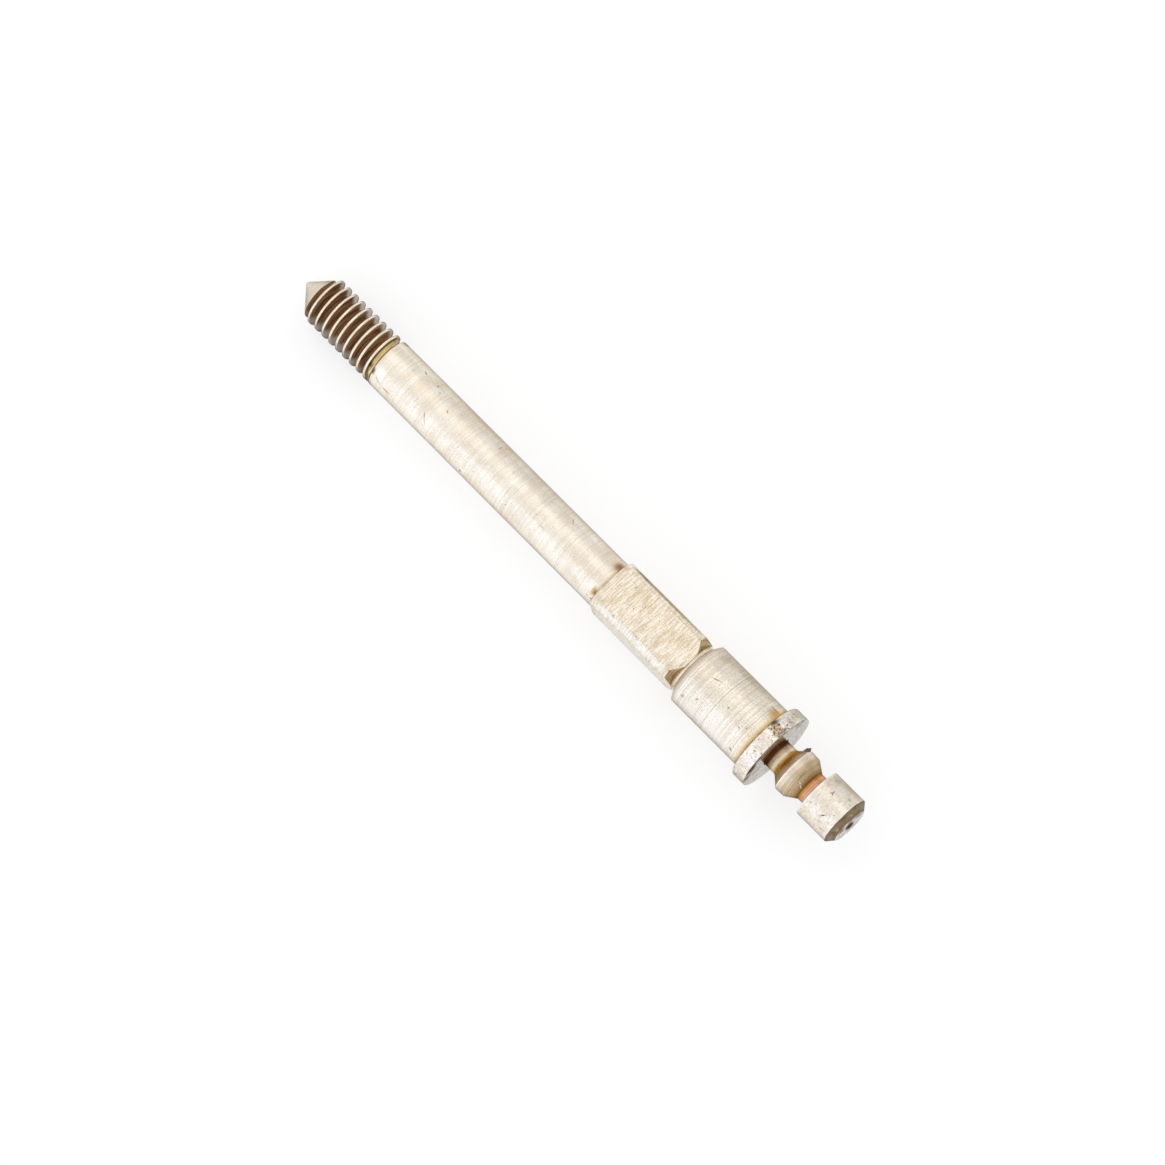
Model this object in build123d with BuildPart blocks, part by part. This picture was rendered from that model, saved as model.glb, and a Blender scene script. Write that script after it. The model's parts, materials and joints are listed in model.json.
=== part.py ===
from build123d import *

import math
import os

# A wristwatch's winding stem, turned and threaded from one steel bar, in millimetres.
# The bar's axis is X. The crown screws on at the -X end and the pilot turns in the main plate
# at the +X end. The origin is on the axis, at the collar face that the winding pinion rests on,
# and two of the square's four flats face +Z and -Z.

# Crown thread, right-handed, from the pointed tip to the shank. The die leaves it a little
# smaller over the crests at the tip, and its last groove runs a little way into the shank.
thread_diameter = 1.20
thread_tip_diameter = 1.19
thread_pitch = 0.225
thread_length = 2.60
thread_angle = 60
crest_share = 0.22
root_share = 0.08
tip_diameter = 0.05
tip_round = 0.02
tip_angle = 90
thread_lead_in = 0.20
thread_run_in = 0.045
run_out_angle = 151.5

# Plain shank, which runs in the case tube and the plate
shank_diameter = 1.21
shank_length = 7.18
shank_chamfer = 0.04

# V-shaped relief cut between the shank and the square
relief_diameter = 1.12
relief_length = 0.06

# Square, which carries the sliding clutch, with its corners taken off flat
square_across_flats = 1.26
square_across_corners = 1.56
square_length = 2.53
square_front_chamfer = 0.07
square_back_chamfer_length = 0.21
square_back_chamfer_depth = 0.155

# Relief cut between the square and the pinion seat
seat_relief_diameter = 1.12
seat_relief_length = 0.06

# Seat of the winding pinion, on the diameter that the square is milled from
seat_diameter = 1.61
seat_length = 2.07
seat_chamfer = 0.12
seat_front_diameter = 1.24

# Thrust collar
collar_diameter = 1.97
collar_length = 0.36
collar_chamfer = 0.03

# Groove for the setting lever's pin
lever_groove_diameter = 0.70
lever_groove_length = 0.31
lever_groove_fillet = 0.02

# Detent cone, with a land at its top
detent_diameter = 1.12
detent_back_diameter = 1.10
detent_rise_length = 0.24
detent_land_length = 0.23
detent_fall_length = 0.27
detent_foot_fillet = 0.12
detent_edge_round = 0.02

# Groove between the detent cone and the pilot
detent_groove_diameter = 0.74
detent_groove_length = 0.21
detent_groove_fillet = 0.02

# Pilot, with the dimple of the lathe's centre in its end face
pilot_diameter = 1.21
pilot_length = 1.00
pilot_front_chamfer = 0.015
pilot_end_chamfer = 0.15
pilot_end_diameter = 0.86
dimple_diameter = 0.17
dimple_depth = 0.07

# The cuts for the square pass the bar by this much
overrun = 0.10

# Places along the axis, worked out from the collar's face at zero
seat_start = -seat_length
seat_chamfer_start = seat_start - seat_chamfer
square_end = seat_chamfer_start - seat_relief_length
square_start = square_end - square_length
relief_bottom = square_start - relief_length / 2
shank_end = square_start - relief_length
shank_start = shank_end - shank_length
tip = shank_start - thread_length
lever_groove_start = collar_length
detent_start = lever_groove_start + lever_groove_length
detent_land_start = detent_start + detent_rise_length
detent_land_end = detent_land_start + detent_land_length
detent_end = detent_land_end + detent_fall_length
pilot_start = detent_end + detent_groove_length
pilot_end = pilot_start + pilot_length

# Heights of the turned outline
thread_radius = thread_diameter / 2
thread_tip_radius = thread_tip_diameter / 2
shank_radius = shank_diameter / 2
seat_radius = seat_diameter / 2
collar_radius = collar_diameter / 2
lever_groove_radius = lever_groove_diameter / 2
detent_groove_radius = detent_groove_diameter / 2
pilot_radius = pilot_diameter / 2
tip_radius = tip_diameter / 2
tip_cone_length = (thread_tip_radius - tip_radius) / math.tan(math.radians(tip_angle / 2))

# Outline of the turned bar from tip to pilot: place on the axis, radius, rounding of that corner
turned_outline = [
    (tip, tip_radius, tip_round),
    (tip + tip_cone_length, thread_tip_radius, 0),
    (shank_start, thread_radius, 0),
    (shank_start + shank_chamfer, shank_radius, 0),
    (shank_end, shank_radius, 0),
    (relief_bottom, relief_diameter / 2, 0),
    (square_start, shank_radius, 0),
    (square_start, seat_radius - square_front_chamfer, 0),
    (square_start + square_front_chamfer, seat_radius, 0),
    (square_end - square_back_chamfer_length, seat_radius, 0),
    (square_end, seat_radius - square_back_chamfer_depth, 0),
    (square_end, seat_relief_diameter / 2, 0),
    (seat_chamfer_start, seat_relief_diameter / 2, 0),
    (seat_chamfer_start, seat_front_diameter / 2, 0),
    (seat_start, seat_radius, 0),
    (0, seat_radius, 0),
    (0, collar_radius - collar_chamfer, 0),
    (collar_chamfer, collar_radius, 0),
    (collar_length, collar_radius, 0),
    (collar_length, lever_groove_radius, lever_groove_fillet),
    (detent_start, lever_groove_radius, detent_foot_fillet),
    (detent_land_start, detent_diameter / 2, detent_edge_round),
    (detent_land_end, detent_back_diameter / 2, detent_edge_round),
    (detent_end, detent_groove_radius, detent_edge_round),
    (pilot_start, detent_groove_radius, detent_groove_fillet),
    (pilot_start, pilot_radius - pilot_front_chamfer, 0),
    (pilot_start + pilot_front_chamfer, pilot_radius, 0),
    (pilot_end - pilot_end_chamfer, pilot_radius, 0),
    (pilot_end, pilot_end_diameter / 2, 0),
    (pilot_end, dimple_diameter / 2, 0),
]
outline_start = (tip, 0)
outline_end = (pilot_end - dimple_depth, 0)
outline_corners = [(place, radius) for place, radius, _ in turned_outline]
corner_rounds = [rounding for _, _, rounding in turned_outline]

# Section of the thread's groove. Its cutter stands out of the bar by cutter_rise, with its
# flanks drawn on, and leaves half of the crest between its turns out there.
crest_width = thread_pitch * crest_share
groove_mouth = thread_pitch - crest_width
groove_root = thread_pitch * root_share
flank_slope = math.tan(math.radians(thread_angle / 2))
groove_depth = (groove_mouth - groove_root) / 2 / flank_slope
cutter_rise = crest_width / 4 / flank_slope
cutter_mouth = groove_mouth + crest_width / 2

# Path of the groove, which ends just inside the shank
groove_start = tip + thread_lead_in
groove_travel = thread_length - thread_lead_in - groove_mouth / 2 + thread_run_in
start_angle = math.radians(run_out_angle - 360 * groove_travel / thread_pitch)
thread_plane = Plane(
    origin=(groove_start, 0, 0),
    x_dir=(0, math.cos(start_angle), math.sin(start_angle)),
    z_dir=(1, 0, 0),
)
groove_path = thread_plane * Helix(pitch=thread_pitch, height=groove_travel, radius=thread_radius)
groove_axis = Edge.make_line((tip, 0, 0), (shank_start, 0, 0))
cutter_plane = Plane(
    origin=groove_path @ 0,
    x_dir=groove_path @ 0 - thread_plane.origin,
    z_dir=groove_path % 0,
)

with BuildPart() as winding_stem:
    # Turned bar
    with BuildSketch(Plane.XZ):
        with BuildLine():
            FilletPolyline(outline_start, *outline_corners, outline_end, radius=corner_rounds)
            Line(outline_end, outline_start)
        make_face()
    revolve(axis=Axis.X)

    # Square, milled between the two relief cuts: its four flats, then its four corners
    for width, turn in ((square_across_flats, 0), (square_across_corners, 45)):
        with BuildSketch(Plane.YZ.offset(square_start)):
            Circle(seat_radius + overrun)
            Rectangle(width, width, rotation=turn, mode=Mode.SUBTRACT)
        extrude(amount=square_length, mode=Mode.SUBTRACT)

    # Helical groove of the crown thread
    with BuildSketch(cutter_plane):
        with BuildLine():
            Polyline(
                (-groove_depth, -groove_root / 2),
                (-groove_depth, groove_root / 2),
                (cutter_rise, cutter_mouth / 2),
                (cutter_rise, -cutter_mouth / 2),
                close=True,
            )
        make_face()
    sweep(path=groove_path, binormal=groove_axis, mode=Mode.SUBTRACT)

winding_stem.part.label = "winding_stem"

os.makedirs("parts", exist_ok=True)
export_step(winding_stem.part, "parts/winding_stem.step")
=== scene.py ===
import json
import math
from collections import namedtuple

import bpy
import numpy as np
from bpy.props import FloatProperty, FloatVectorProperty, IntProperty, PointerProperty
from mathutils import Matrix, Vector, noise


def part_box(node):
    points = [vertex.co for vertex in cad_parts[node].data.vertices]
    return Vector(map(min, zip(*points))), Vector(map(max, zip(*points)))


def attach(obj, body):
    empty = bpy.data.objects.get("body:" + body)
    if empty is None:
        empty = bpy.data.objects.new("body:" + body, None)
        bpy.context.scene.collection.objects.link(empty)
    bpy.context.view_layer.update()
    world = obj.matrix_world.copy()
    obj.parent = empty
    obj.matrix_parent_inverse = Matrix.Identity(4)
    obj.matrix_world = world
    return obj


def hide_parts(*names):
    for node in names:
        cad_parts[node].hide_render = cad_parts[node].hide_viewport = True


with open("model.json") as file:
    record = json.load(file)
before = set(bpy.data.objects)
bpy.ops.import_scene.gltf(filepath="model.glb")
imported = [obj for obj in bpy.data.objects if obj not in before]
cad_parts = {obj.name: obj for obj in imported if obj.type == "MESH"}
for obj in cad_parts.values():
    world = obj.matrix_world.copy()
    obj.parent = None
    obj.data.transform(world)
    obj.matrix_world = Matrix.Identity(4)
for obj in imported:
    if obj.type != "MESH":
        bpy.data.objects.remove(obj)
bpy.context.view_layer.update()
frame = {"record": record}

bl_info = {
    "name": "Watch Winding Stem",
    "version": (1, 0, 0),
    "blender": (4, 5, 0),
    "location": "View3D > Sidebar > Stem",
    "description": "A wristwatch's turned steel winding stem, with its thread, square and grooves",
    "category": "Add Mesh",
}

# The stem lies along X, with its crown end at -X. Lengths are in metres, and angles round the
# axis run from +Y towards +Z.
MM = 0.001
NODE = "winding_stem"
TIP, PILOT_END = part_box(NODE)[0][0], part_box(NODE)[1][0]
MOUNTS = {mount["name"]: mount for mount in frame["record"]["mounts"]}


def mount_radius(name):
    """Radius of a round mount of the packed part."""
    return MOUNTS[name]["dims"]["r_mm"] * MM


def mount_ends(name):
    """Where a mount's wall starts and ends along the axis, from its middle and its length."""
    middle, half = MOUNTS[name]["pos_m"][0], MOUNTS[name]["dims"]["length_mm"] * MM / 2
    return middle - half, middle + half


SHANK_START, SHANK_END = mount_ends("case_tube_journal")
LEVER_GROOVE = mount_ends("lever_groove")
DETENT_GROOVE = mount_ends("detent_groove")


def length(name, description, default):
    """One length, written in millimetres and kept in metres."""
    return FloatProperty(
        name=name, description=description, default=default * MM, min=0, unit="LENGTH", precision=6
    )


def share(name, description, default):
    """One share, from none to all."""
    return FloatProperty(
        name=name, description=description, default=default, min=0, max=1, subtype="FACTOR"
    )


def turn(name, description, degrees):
    """One angle, written in degrees."""
    return FloatProperty(
        name=name, description=description, default=math.radians(degrees), subtype="ANGLE"
    )


def colour(name, description, default):
    """One colour, kept as sRGB parts and written from its hex value."""
    return FloatVectorProperty(
        name=name,
        description=description,
        default=hex_parts(default),
        min=0,
        max=1,
        size=3,
        subtype="COLOR_GAMMA",
    )


def hex_parts(value):
    """sRGB parts, each 0 to 1, of a hex colour."""
    return tuple(int(value[i : i + 2], 16) / 255 for i in (1, 3, 5))


def linear(value):
    """Linear RGBA of sRGB parts or of a hex colour, as a shader socket takes it."""
    parts = hex_parts(value) if isinstance(value, str) else value
    return tuple(p / 12.92 if p <= 0.04045 else ((p + 0.055) / 1.055) ** 2.4 for p in parts) + (1,)


class ThreadSizes(bpy.types.PropertyGroup):
    """Crown thread and its pointed tip"""

    pitch: length("Pitch", "Advance of the thread in one turn", 0.225)
    diameter: length("Diameter", "Over the crests at the shank", 1.20)
    tip_end_diameter: length("Tip end diameter", "Over the crests at the cone", 1.19)
    angle: turn("Flank angle", "Between the two flanks", 60)
    crest_share: share("Crest", "Width of the crest as a share of the pitch", 0.22)
    root_share: share("Root", "Width of the root as a share of the pitch", 0.08)
    point_diameter: length("Point diameter", "Of the small flat at the very tip", 0.05)
    last_angle: turn("Last angle", "Where the groove comes to its full end", 151.5)
    last_gap: length("Last gap", "From the groove's middle there to the shank", 0.0427)
    fade_start: turn("Fade start", "Where the last groove starts to get shallow", 116.5)
    fade_end: turn("Fade end", "Where the last groove has run out", 201.5)
    turns: IntProperty(name="Turns", description="Whole turns of the groove", default=10, min=1)


class TurnedSizes(bpy.types.PropertyGroup):
    """Everything that is turned or milled behind the thread"""

    shank_chamfer: length("Shank chamfer", "Where the thread meets the shank", 0.04)
    relief_length: length("Relief length", "Of the cut between shank and square", 0.06)
    relief_diameter: length("Relief diameter", "At the bottom of that cut", 1.12)
    across_flats: length("Across flats", "Of the square", 1.26)
    across_corners: length("Across corners", "Of the square's flattened corners", 1.56)
    square_length: length("Square length", "Between the two relief cuts", 2.53)
    square_front: length("Square front chamfer", "At the shank's end of the corners", 0.07)
    square_back: length("Square back chamfer", "Its length at the corners", 0.21)
    square_back_depth: length("Square back chamfer depth", "At the corners", 0.155)
    seat_relief_diameter: length("Seat relief diameter", "Of the cut before the seat", 1.12)
    seat_relief_length: length("Seat relief length", "Of the cut before the seat", 0.06)
    seat_chamfer: length("Seat chamfer", "Length of the seat's front cone", 0.12)
    seat_front_diameter: length("Seat front diameter", "Small end of that cone", 1.24)
    collar_diameter: length("Collar diameter", "Of the thrust collar", 1.97)
    collar_chamfer: length("Collar chamfer", "On the edge that faces the seat", 0.03)
    detent_diameter: length("Detent diameter", "At the front of the land", 1.12)
    detent_back_diameter: length("Detent back diameter", "At the land's end", 1.10)
    detent_rise: length("Detent rise", "Length of the front cone", 0.24)
    detent_land: length("Detent land", "Length of the land", 0.23)
    foot_fillet: length("Foot fillet", "Round at the front cone's foot", 0.12)
    pilot_chamfer: length("Pilot chamfer", "Length of the cone at the pilot's end", 0.15)
    pilot_end_diameter: length("Pilot end diameter", "Of the pilot's end face", 0.86)
    dimple_diameter: length("Dimple diameter", "Of the centre mark", 0.17)
    dimple_depth: length("Dimple depth", "Of the centre mark", 0.07)
    edge: length("Edge round", "Radius left on every turned edge", 0.006)


class WearSizes(bpy.types.PropertyGroup):
    """Damage that has a shape"""

    nick_angle: turn("Nick angle", "Where the nick in the collar's rim lies", 76)
    nick_half_width: length("Nick half width", "Half the nick's width round the rim", 0.15)
    nick_depth: length("Nick depth", "How far the nick cuts into the rim", 0.06)
    lip_height: length("Lip height", "Metal thrown up along the nick", 0.004)
    burr_angle: turn("Burr angle", "Where the burr on the detent cone lies", 8)
    burr_place: length("Burr place", "From the collar's seat face to the burr", 0.81)
    burr_radius: length("Burr radius", "Of the burr on the detent cone", 0.055)
    burr_height: length("Burr height", "Of the burr on the detent cone", 0.115)


class Finish(bpy.types.PropertyGroup):
    """Colours of the steel and of what has dried on it"""

    steel: colour("Steel", "Ground steel with its straw tint", "#FFF8EC")
    steel_dull: colour("Steel, dull", "Where the tint is thicker", "#F0E2CE")
    turned_dull: colour("Turned steel, dull", "In the turned steel", "#E4D5BF")
    # bare also paints highlights along the square's lower corner and the seat's lower side.
    bare: colour("Bare steel", "Polished, under the films of oil", "#FFFFFF")
    bare_dull: colour("Bare steel, dull", "In its tool marks", "#E2D8C8")
    crest: colour("Thread crest", "Burnished crests of the thread", "#FFF3DC")
    flat: colour("Square's flats", "Filed steel", "#FCF3E4")
    flat_dull: colour("Square's flats, dull", "In the file marks", "#DAC8AA")
    # rim also paints a highlight along the square's lower flat.
    rim: colour("Collar's rim", "Bright rim of the collar", "#FFFAF4")
    rim_dull: colour("Collar's rim, dull", "Where it was gripped", "#E8D9C6")
    # face and face_dull also paint grey shade along the silhouettes of the thread and of the
    # pilot's end.
    face: colour("Faces", "Grey turned faces", "#E4DFD8")
    face_dull: colour("Faces, dull", "Where they are stained", "#B8B0A8")
    tan: colour("Tan film", "Thin oil in the groove behind the square", "#FFF8EC")
    tan_dull: colour("Tan film, dull", "Where it is thicker", "#F0DEC6")
    cone: colour("Cones", "Oil on the back of the square's corners", "#C0A882")
    cone_dull: colour("Cones, dull", "Where it is thicker", "#957A52")
    # brown also paints a dark reflection on the collar's face and shade beside the square's front
    # corners.
    brown: colour("Brown residue", "Dried polish and oil", "#4A2C14")
    flank: colour("Thread flank", "Polish left in the thread", "#986E4C")
    flank_dark: colour("Thread flank, dark", "Where it lies thickest", "#5C3A22")
    # olive also paints shade along the upper side of the shank, the square, the seat, the collar
    # and the pilot.
    olive: colour("Olive film", "Old oil", "#8C7A52")
    olive_dark: colour("Olive film, dark", "Where it is thicker", "#705E38")
    # gold_pale also paints the highlight on the tip-facing flanks of the thread's last groove;
    # gold, copper and copper_dark also paint shade beside the square's front corners.
    gold: colour("Gold film", "Thin oil in corners", "#C79A4E")
    gold_pale: colour("Gold film, pale", "Thinner oil", "#F0DDB6")
    copper: colour("Copper film", "Thin oil in the narrow groove", "#D69A66")
    copper_dark: colour("Copper film, dark", "Where it is thicker", "#8E6A4C")
    chalk: colour("Chalky residue", "Dried polish in the corner before the seat", "#DCCAB6")
    grime: colour("Grime", "Small pits and scratches", "#6E5C4A")
    thread_edge: share("Edge tint, thread", "Brightness at a grazing angle of the crests", 0.15)
    round_edge: share("Edge tint, round", "Brightness at a grazing angle of the round parts", 0.45)
    flat_edge: share("Edge tint, flat", "Brightness at a grazing angle of the flat parts", 0.85)
    roughness: share("Roughness", "Of the turned steel", 0.26)


class StageSettings(bpy.types.PropertyGroup):
    """Table, light and camera"""

    table: colour("Table", "White card under the stem", "#A0A0A0")
    table_glow: share("Background level", "White added to the table where it is seen", 0.68)
    tent_level: share("Tent level", "Light of the white tent", 0.94)
    far_dim: share("Far side", "How much dimmer the tent is low at the far side", 0.16)
    near_level: share("Near panel level", "Light of the panel at the near side", 0.25)
    top_level: share("Top panel level", "Light of the panel overhead", 0.13)
    camera_distance: length("Camera distance", "From the lens to the stem", 106.4)


GROUPS = {
    "stem_thread": ThreadSizes,
    "stem_turned": TurnedSizes,
    "stem_wear": WearSizes,
    "stem_finish": Finish,
    "stem_stage": StageSettings,
}

# Columns of the mesh round the axis, and rings along the square
COLUMNS = 256
SQUARE_RINGS = 10

# Steps of a rounded corner, and the most that it may take up of the sides that meet there
ROUND_STEPS = 3
ROUND_ROOM = 0.45

# Regions of the bar, each with its own finish
THREAD, SHANK, SQUARE, CONES, GROOVE, SEAT, COLLAR, FACES, HEAD, PILOT = range(10)


def square_radius(angles, turned):
    """Distance from the axis to the square's flats and corners at each angle."""

    def side(width, turned_by):
        off = (angles - turned_by + math.pi / 4) % (math.pi / 2) - math.pi / 4
        return width / 2 / np.cos(off)

    return np.minimum(side(turned.across_flats, 0), side(turned.across_corners, math.pi / 4))


def rounded(points):
    """Points (x, radius) of an outline of (x, radius, rounding), with its corners rounded."""
    made = [points[0][:2]]
    for before, corner, after in zip(points, points[1:], points[2:]):
        at, rounding = Vector(corner[:2]), corner[2]
        to_before, to_after = Vector(before[:2]) - at, Vector(after[:2]) - at
        if rounding:
            half = to_before.angle(to_after) / 2
            room = ROUND_ROOM * min(to_before.length, to_after.length)
            reach = min(rounding / math.tan(half), room)
            start, end = at + to_before.normalized() * reach, at + to_after.normalized() * reach
            for i in range(ROUND_STEPS + 1):
                t = i / ROUND_STEPS
                made.append(tuple(start * (1 - t) ** 2 + at * 2 * t * (1 - t) + end * t**2))
        else:
            made.append(corner[:2])
    made.append(points[-1][:2])
    return made


def filled(points, spacing):
    """The outline with points added, so that no two lie further apart than spacing."""
    made = [points[0]]
    for (x0, r0), (x1, r1) in zip(points, points[1:]):
        count = max(1, math.ceil(math.hypot(x1 - x0, r1 - r0) / spacing))
        for i in range(1, count + 1):
            made.append((x0 + (x1 - x0) * i / count, r0 + (r1 - r0) * i / count))
    return made


class Bar:
    """Mesh of the bar while it grows from the tip to the pilot, ring by ring."""

    def __init__(self, first_angle):
        self.angles = first_angle + np.arange(COLUMNS) * math.tau / COLUMNS
        self.points, self.faces, self.finish = [], [], []
        self.last = None

    def point(self, x, radius, angle):
        """Adds one point and gives its number."""
        self.points.append((x, radius * math.cos(angle), radius * math.sin(angle)))
        return len(self.points) - 1

    def face(self, corners, finish):
        """Adds one face, with its finish."""
        self.faces.append(corners)
        self.finish.append(finish)

    def ring(self, xs, radii, finish):
        """Adds a ring of points and joins it to the last one."""
        xs, radii = np.broadcast_to(xs, COLUMNS), np.broadcast_to(radii, COLUMNS)
        made = [self.point(x, r, a) for x, r, a in zip(xs, radii, self.angles)]
        if self.last is not None:
            for j in range(COLUMNS):
                k = (j + 1) % COLUMNS
                self.face((self.last[j], self.last[k], made[k], made[j]), finish)
        self.last = made

    def open(self, x, radius, finish):
        """Starts the bar with one point on the axis and a ring."""
        middle = self.point(x, 0.0, 0.0)
        self.ring(x, radius, finish)
        for j in range(COLUMNS):
            self.face((self.last[(j + 1) % COLUMNS], self.last[j], middle), finish)

    def close(self, x, finish):
        """Closes the last ring on one point of the axis."""
        middle = self.point(x, 0.0, 0.0)
        for j in range(COLUMNS):
            self.face((self.last[j], self.last[(j + 1) % COLUMNS], middle), finish)


# Rings of the tip's rounded point: place and radius, both as shares of the point's radius
POINT_RINGS = ((0.0, 0.4), (0.12, 0.8), (0.4, 1.15), (1.0, 1.9))

# The cone's last ring behind the tip, and the shank's first ring behind the thread's end, both
# as shares of the pitch
CONE_RING = 0.4
SHANK_RING = 1.05

# Section of the thread from a crest to the root, as shares of the pitch and of the depth, and
# the whole section, whose second flank is the mirror of the first
HALF_SECTION = (
    (0.0, 0.0),
    (0.08, 0.0),
    (0.108, 0.02),
    (0.14, 0.10),
    (0.23, 0.36),
    (0.34, 0.67),
    (0.44, 0.94),
    (0.50, 1.0),
)
SECTION = HALF_SECTION + tuple((1 - place, depth) for place, depth in HALF_SECTION[-2::-1])


def smooth(value):
    """Smooth step from 0 to 1."""
    value = min(1.0, max(0.0, value))
    return value * value * (3 - 2 * value)


def turn_tip(bar, thread):
    """The rounded point and the cone, up to where the ribbon of the thread starts."""
    point = thread.point_diameter / 2
    bar.open(TIP, point * POINT_RINGS[0][1], SHANK)
    for forward, out in POINT_RINGS[1:]:
        bar.ring(TIP + point * forward, point * out, SHANK)
    forward = thread.pitch * CONE_RING
    bar.ring(TIP + forward, point + forward, SHANK)


def wind_thread(bar, thread, turned):
    """Winds the thread as one ribbon, a pitch wide, whose lower edge is sewn to the turn below."""
    flank = math.tan(thread.angle / 2)
    depth = thread.pitch * (1 - thread.crest_share - thread.root_share) / 2 / flank
    last = len(SECTION) - 1
    columns = thread.turns * COLUMNS
    thread_end = SHANK_START - turned.shank_chamfer
    past = (thread.fade_end - thread.last_angle) / math.tau
    end = SHANK_START - thread.last_gap + (past - 0.5) * thread.pitch
    shank = mount_radius("case_tube_journal")
    rows = []
    for c in range(columns + 1):
        turns_left = (columns - c) / COLUMNS
        angle = thread.fade_end - turns_left * math.tau
        fade = smooth(turns_left * math.tau / (thread.fade_end - thread.fade_start))
        row = []
        for v, (place, share_down) in enumerate(SECTION):
            if v == last and c <= columns - COLUMNS:
                continue
            x = end + (place - turns_left) * thread.pitch
            taper = min(1.0, (x - TIP) / (thread_end - TIP))
            crest = (thread.tip_end_diameter * (1 - taper) + thread.diameter * taper) / 2
            up = min(1.0, max(0.0, (x - thread_end) / turned.shank_chamfer))
            crest += up * (shank - crest)
            cone = thread.point_diameter / 2 + x - TIP
            row.append(bar.point(x, min(crest - depth * share_down * fade, cone), angle))
        rows.append(row)
    for c in range(columns - COLUMNS + 1):
        rows[c].append(rows[c + COLUMNS][0])
    # The cone's last ring meets the ribbon's first turn, with one many-sided face at its step
    for c in range(COLUMNS - 1):
        bar.face((bar.last[c], bar.last[c + 1], rows[c + 1][0], rows[c][0]), SHANK)
    bar.face((bar.last[-1], bar.last[0], *rows[0], rows[COLUMNS - 1][0]), SHANK)
    for c in range(columns):
        for v in range(last):
            bar.face((rows[c][v], rows[c + 1][v], rows[c + 1][v + 1], rows[c][v + 1]), THREAD)
    # The ribbon's last turn meets the shank's first ring in the same way
    top = [row[-1] for row in rows[columns - COLUMNS :]]
    start = end + thread.pitch * SHANK_RING
    ring = [bar.point(start, shank, angle) for angle in bar.angles]
    bar.face((top[1], ring[1], ring[0], *reversed(rows[-1])), THREAD)
    for c in range(1, COLUMNS):
        bar.face((top[c], top[c + 1], ring[(c + 1) % COLUMNS], ring[c]), THREAD)
    bar.last = ring
    return start


def turn_shank(bar, turned, start):
    """Shank and the V-shaped relief cut before the square."""
    radius = mount_radius("case_tube_journal")
    spacing = 0.3 * MM
    square_start = SHANK_END + turned.relief_length
    outline = rounded(
        [
            (start, radius, 0),
            (SHANK_END, radius, turned.edge),
            (SHANK_END + turned.relief_length / 2, turned.relief_diameter / 2, turned.edge),
            (square_start - turned.edge, radius - 2 * turned.edge, 0),
        ]
    )
    for x, r in filled(outline, spacing)[1:]:
        bar.ring(x, r, SHANK)
    return square_start


def mill_square(bar, turned, start):
    """Square between the two relief cuts, with its turned ends."""
    seat, small = mount_radius("pinion_seat"), turned.edge
    flat = square_radius(bar.angles, turned)
    end = start + turned.square_length
    bar.ring(start, np.minimum(seat - turned.square_front, flat - small), SQUARE)
    front = start + np.clip(flat - seat + turned.square_front, small, turned.square_front)
    bar.ring(front, flat, SQUARE)
    slope = turned.square_back / turned.square_back_depth
    back = np.minimum(end - turned.square_back + slope * (seat - flat), end - small)
    for i in range(1, SQUARE_RINGS + 1):
        bar.ring(front + (back - front) * i / SQUARE_RINGS, flat, SQUARE)
    bar.ring(end, np.minimum(seat - turned.square_back_depth, flat - small), CONES)
    return end


def turn_head(bar, turned, start):
    """Everything from the second relief cut to the dimple in the pilot's end face."""
    seat, pilot = mount_radius("pinion_seat"), mount_radius("pilot")
    lever, detent = mount_radius("lever_groove"), mount_radius("detent_groove")
    edge, relief = turned.edge, turned.seat_relief_diameter / 2
    seat_front, collar = turned.seat_front_diameter / 2, turned.collar_diameter / 2
    cone_start = start + turned.seat_relief_length
    cone_end = cone_start + turned.seat_chamfer
    rise_end = LEVER_GROOVE[1] + turned.detent_rise
    land_end = rise_end + turned.detent_land
    pilot_start = DETENT_GROOVE[1]
    corner = (start, turned.across_flats / 2 - edge, 0)
    # Finish, spacing of the rings, and the outline's next corners as (x, radius, rounding)
    parts = (
        (
            GROOVE,
            0.05 * MM,
            (start, relief, edge),
            (cone_start, relief, 3 * edge),
            (cone_start, seat_front - edge, 0),
        ),
        (
            SEAT,
            0.15 * MM,
            (cone_start, seat_front, edge),
            (cone_end, seat, edge),
            (0, seat, 0),
        ),
        (
            COLLAR,
            0.02 * MM,
            (0, collar - turned.collar_chamfer, edge),
            (turned.collar_chamfer, collar, edge),
            (LEVER_GROOVE[0] - edge, collar, 0),
        ),
        (
            FACES,
            0.04 * MM,
            (LEVER_GROOVE[0], collar, edge),
            (LEVER_GROOVE[0], lever + 4 * edge, 0),
        ),
        (
            HEAD,
            0.03 * MM,
            (LEVER_GROOVE[0], lever, edge * 3),
            (LEVER_GROOVE[1], lever, turned.foot_fillet),
            (rise_end, turned.detent_diameter / 2, edge * 3),
            (land_end, turned.detent_back_diameter / 2, edge * 3),
            (DETENT_GROOVE[0], detent, edge * 3),
            (pilot_start, detent, edge * 3),
            (pilot_start, pilot - 2 * edge, 0),
        ),
        (
            PILOT,
            0.06 * MM,
            (pilot_start, pilot, edge * 2),
            (PILOT_END - turned.pilot_chamfer, pilot, edge * 2),
            (PILOT_END - edge, turned.pilot_end_diameter / 2 + edge, 0),
        ),
        (
            FACES,
            0.06 * MM,
            (PILOT_END, turned.pilot_end_diameter / 2, edge),
            (PILOT_END, turned.dimple_diameter / 2, edge),
            (PILOT_END - turned.dimple_depth, 0, 0),
        ),
    )
    bar.ring(*corner[:2], GROOVE)
    for finish, spacing, *corners in parts:
        for x, r in filled(rounded([corner, *corners]), spacing)[1:]:
            if r > 0:
                bar.ring(x, r, finish)
        corner = corners[-1]
    bar.close(PILOT_END - turned.dimple_depth, FACES)


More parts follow.
